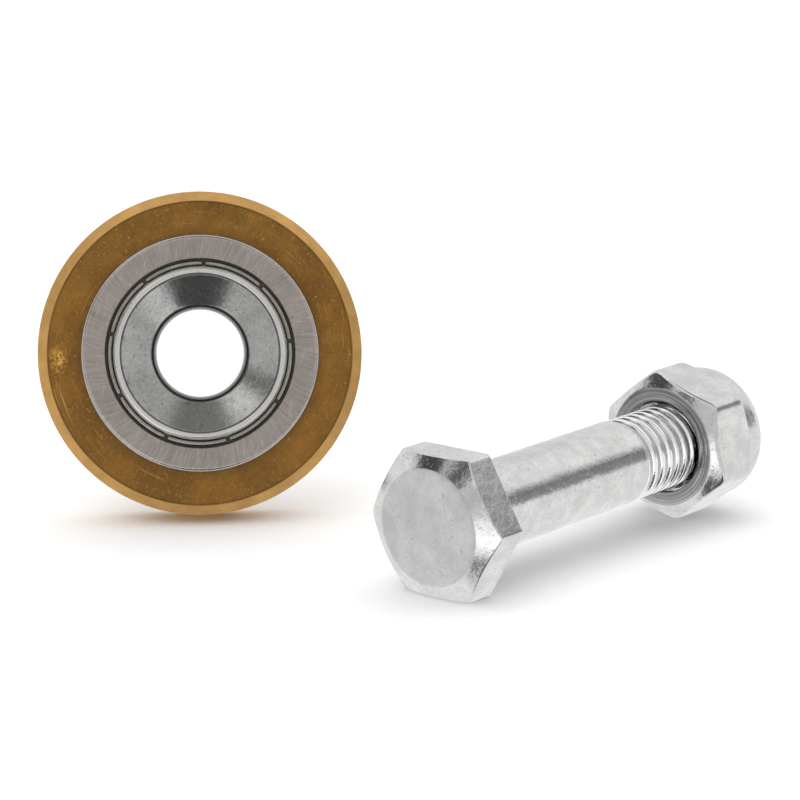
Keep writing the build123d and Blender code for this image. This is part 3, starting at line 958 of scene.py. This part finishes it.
class ROLLER_OT_stage(bpy.types.Operator):
    """Lay the pale floor and set the soft lights and the camera"""
    bl_idname = "roller.stage"
    bl_label = "Floor, Lights and Camera"

    def execute(self, context):
        scene = context.scene
        scene.view_settings.view_transform = "Standard"
        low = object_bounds()[0][2]
        mesh = bpy.data.meshes.new("paper_floor")
        corners = ((-1, -1), (1, -1), (1, 1), (-1, 1))
        mesh.from_pydata([(x * FLOOR_REACH, y * FLOOR_REACH, low) for x, y in corners], [],
                         [(0, 1, 2, 3)])
        mesh.materials.append(material_for("floor"))
        floor = object_of(mesh, "paper_floor")
        floor.visible_glossy = False
        floor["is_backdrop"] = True

        self.tent(scene)
        for name, way, spread, strength in LAMPS:
            lamp = bpy.data.lights.new(name, "SUN")
            lamp.angle, lamp.energy = radians(spread), strength
            stand = object_of(lamp, name)
            stand.visible_glossy = False
            stand.rotation_euler = Vector(way).to_track_quat("Z", "Y").to_euler()

        lens = bpy.data.cameras.new("camera")
        lens.lens, lens.sensor_width = 135, 36
        lens.clip_start, lens.clip_end = 0.01, 20
        camera = object_of(lens, "camera")
        camera.location = AXLE * CAMERA_AWAY
        camera.rotation_euler = [radians(turn) for turn in CAMERA_TURN]
        scene.camera = camera
        return {"FINISHED"}

    def tent(self, scene):
        """Put up a white light tent with its flags, in front of a plain white backdrop."""
        world = bpy.data.worlds.new("light_tent")
        scene.world = world
        world.use_nodes = True
        tree = world.node_tree
        way = node(tree, "ShaderNodeTexCoord").outputs["Generated"]
        light = TENT_LIGHT
        for place, inner, outer, taken in FLAGS:
            near = node(tree, "ShaderNodeVectorMath", (way, Vector(place).normalized()),
                        operation="DOT_PRODUCT").outputs["Value"]
            left = node(tree, "ShaderNodeMapRange", (
                near, cos(radians(outer)), cos(radians(inner)), 1.0, 1.0 - taken),
                interpolation_type="SMOOTHSTEP")
            light = node(tree, "ShaderNodeMath", (light, left), operation="MULTIPLY")
        seen = node(tree, "ShaderNodeLightPath").outputs["Is Camera Ray"]
        strength = node(tree, "ShaderNodeMath", (light, seen), operation="MAXIMUM")
        background = tree.nodes["Background"]
        background.inputs["Color"].default_value = (1, 1, 1, 1)
        tree.links.new(strength.outputs[0], background.inputs["Strength"])


STEPS = (ROLLER_OT_wheel, ROLLER_OT_bearing, ROLLER_OT_hub, ROLLER_OT_bolt, ROLLER_OT_nut,
         ROLLER_OT_running_gear, ROLLER_OT_stage)
GROUPS = {"roller_wheel": WheelSizes, "roller_bearing": BearingSizes, "roller_bush": BushSizes,
          "roller_bolt": BoltSizes, "roller_nut": NutSizes, "roller_colours": FinishColours}


class ROLLER_PT_panel(bpy.types.Panel):
    """Lists the roller's pieces"""
    bl_label = "Sliding Door Roller"
    bl_idname = "ROLLER_PT_panel"
    bl_space_type = "VIEW_3D"
    bl_region_type = "UI"
    bl_category = "Roller"

    def draw(self, context):
        for step in STEPS:
            self.layout.operator(step.bl_idname)
        for group in GROUPS:
            held = getattr(context.scene, group)
            column = self.layout.column(heading=group.replace("_", " ").capitalize())
            for label in held.__annotations__:
                column.prop(held, label)


def register():
    for group in (*GROUPS.values(), *STEPS, ROLLER_PT_panel):
        bpy.utils.register_class(group)
    for name, group in GROUPS.items():
        setattr(bpy.types.Scene, name, PointerProperty(type=group))


def unregister():
    for name in GROUPS:
        delattr(bpy.types.Scene, name)
    for group in reversed((*GROUPS.values(), *STEPS, ROLLER_PT_panel)):
        bpy.utils.unregister_class(group)


def main():
    register()
    for step in STEPS:
        getattr(bpy.ops.roller, step.bl_idname.removeprefix("roller."))()


if __name__ == "__main__":
    main()
